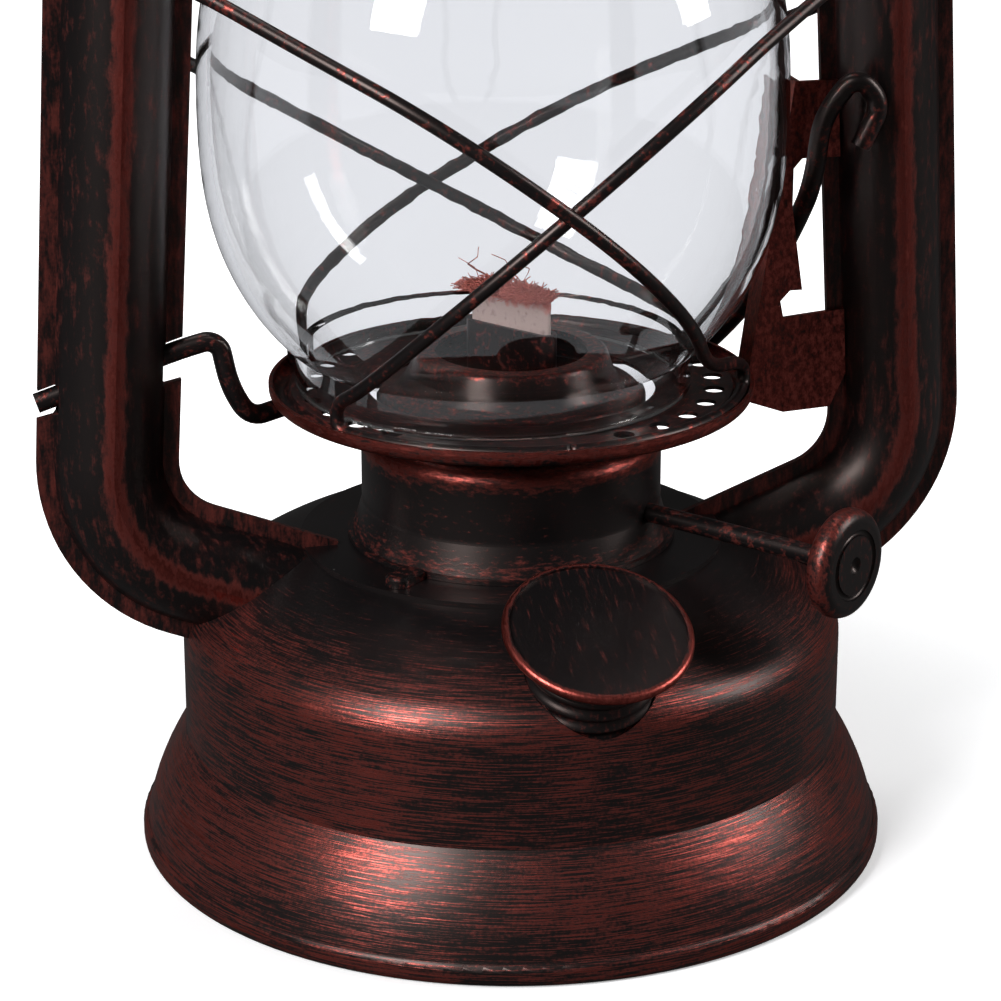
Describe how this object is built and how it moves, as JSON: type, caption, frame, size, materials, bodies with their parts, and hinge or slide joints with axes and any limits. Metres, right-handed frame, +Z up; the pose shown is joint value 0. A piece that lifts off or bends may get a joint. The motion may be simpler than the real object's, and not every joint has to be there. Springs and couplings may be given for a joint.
{
  "type": "hurricane oil lantern",
  "caption": "Wick oil lantern with a round fuel tank, side air tubes, a glass globe in a crossed wire guard, a lift lever, a screw filler cap, a sliding hood and a swinging bail.",
  "frame": {"origin": "middle of the footprint, on the plane that the tank's rim stands on", "axes": "+Z up along the lamp's axis, the side tubes at -X and +X, the filler cap at the front, -Y"},
  "size_m": [0.1543, 0.1265, 0.31],
  "materials": {
    "aged_metal": "satin black paint brushed over with red copper",
    "clear_glass": "clear, smooth",
    "wick_cotton": "woven cotton, frayed end",
    "seal": "matte"
  },
  "bodies": {
    "frame": {"fuel_tank": "aged_metal", "tank_bottom": "aged_metal", "filler_neck": "aged_metal", "burner_base_plate": "aged_metal", "burner_collar": "aged_metal", "burner_catch": "aged_metal", "burner_dome": "aged_metal", "wick_tube": "aged_metal", "left_tube_front": "aged_metal", "left_tube_back": "aged_metal", "right_tube_front": "aged_metal", "right_tube_back": "aged_metal", "crown": "aged_metal", "left_bail_ear": "aged_metal", "right_bail_ear": "aged_metal", "lever_bracket": "aged_metal"},
    "globe_carriage": {"globe_plate": "aged_metal", "globe": "clear_glass", "guard_wire": "aged_metal"},
    "lift_lever": {"lift_lever": "aged_metal"},
    "chimney_hood": {"globe_cap": "aged_metal", "hood": "aged_metal", "lift_loop": "aged_metal"},
    "wick_raiser": {"wick_shaft": "aged_metal", "wick_wheels": "aged_metal", "wick_knob": "aged_metal"},
    "wick": {"wick": "wick_cotton"},
    "filler_gasket": {"filler_gasket": "seal"},
    "filler_cap": {"filler_cap": "aged_metal"},
    "bail": {"bail": "aged_metal"}
  },
  "joints": [
    {"name": "globe_lift", "type": "slide", "parent": "frame", "child": "globe_carriage", "axis": [0, 0, 1], "range_m": [-0.0043, 0]},
    {"name": "lever_lift", "type": "hinge", "parent": "frame", "child": "lift_lever", "pos_m": [-0.0755, 0, 0.0801], "axis": [0, -1, 0], "range_deg": [-6.6, 0]},
    {"name": "hood_lift", "type": "slide", "parent": "globe_carriage", "child": "chimney_hood", "axis": [0, 0, 1], "range_m": [0, 0.012]},
    {"name": "wick_turn", "type": "hinge", "parent": "frame", "child": "wick_raiser", "pos_m": [0.0044, 0.00338, 0.0588], "axis": [-0.6088, 0.7934, 0], "range_deg": [-60, 100]},
    {"name": "wick_raise", "type": "slide", "parent": "frame", "child": "wick", "axis": [0, 0, 1], "range_m": [-0.00465, 0.0077]},
    {"name": "filler_lift", "type": "slide", "parent": "frame", "child": "filler_gasket", "axis": [0.0106, -0.4066, 0.9135], "range_m": [0, 0.006]},
    {"name": "filler_turn", "type": "hinge", "parent": "filler_gasket", "child": "filler_cap", "pos_m": [0.00122, -0.04658, 0.04587], "axis": [0.0106, -0.4066, 0.9135], "range_deg": [0, 720]},
    {"name": "bail_swing", "type": "hinge", "parent": "frame", "child": "bail", "pos_m": [0, 0, 0.24729], "axis": [1, 0, 0], "range_deg": [0, 290]}
  ],
  "couplings": [
    {"joint": "lever_lift", "follows": "globe_lift", "rad_per_m": 26.7},
    {"joint": "wick_raise", "follows": "wick_turn", "m_per_rad": 0.0044},
    {"joint": "filler_lift", "follows": "filler_turn", "m_per_rad": 0.00047746}
  ]
}
